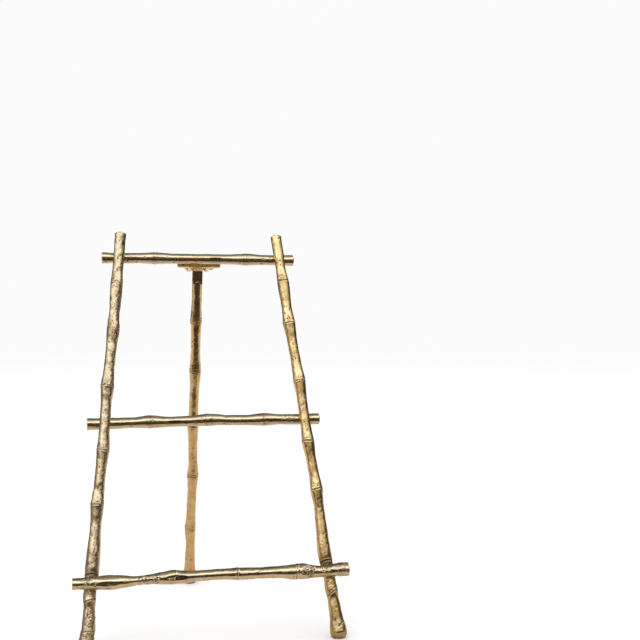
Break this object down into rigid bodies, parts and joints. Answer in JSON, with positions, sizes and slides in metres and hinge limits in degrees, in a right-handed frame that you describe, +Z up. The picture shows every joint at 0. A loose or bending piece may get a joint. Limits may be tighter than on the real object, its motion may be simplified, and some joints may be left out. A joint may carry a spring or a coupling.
{
  "type": "plate display stand",
  "caption": "Folding easel stand for a plate or platter: splayed bamboo-shaped cast brass uprights, cross rails and a hinged rear leg.",
  "frame": {"origin": "on the floor, midway between the stand's sides and midway between the front of the front feet and the back of the rear foot", "axes": "+Z up, +X to the stand's right as seen from the plate's side, and the plate's side faces -Y"},
  "size_m": [0.154, 0.1479, 0.2341],
  "materials": {
    "bamboo_brass": "polished cast brass with dark pits and cracks at the knuckles",
    "fitting_brass": "turned and milled brass, lightly polished"
  },
  "bodies": {
    "front_frame": {"left_upright": "bamboo_brass", "right_upright": "bamboo_brass", "plate_rail": "bamboo_brass", "middle_rail": "bamboo_brass", "top_rail": "bamboo_brass", "plate_rail_screw_left": "fitting_brass", "plate_rail_screw_right": "fitting_brass", "middle_rail_screw_left": "fitting_brass", "middle_rail_screw_right": "fitting_brass", "top_rail_screw_left": "fitting_brass", "top_rail_screw_right": "fitting_brass", "hinge_bracket_screw_left": "fitting_brass", "hinge_bracket_screw_right": "fitting_brass", "hinge_bracket": "fitting_brass", "hinge_bolt": "fitting_brass", "hinge_cap_nut": "fitting_brass", "hinge_washer_left": "fitting_brass", "hinge_washer_right": "fitting_brass"},
    "rear_leg": {"rear_leg": "bamboo_brass"}
  },
  "joints": [
    {"name": "rear_leg_fold", "type": "hinge", "parent": "front_frame", "child": "rear_leg", "pos_m": [0, 0.01953, 0.2146], "axis": [-1, 0, 0], "range_deg": [0, 32]}
  ]
}
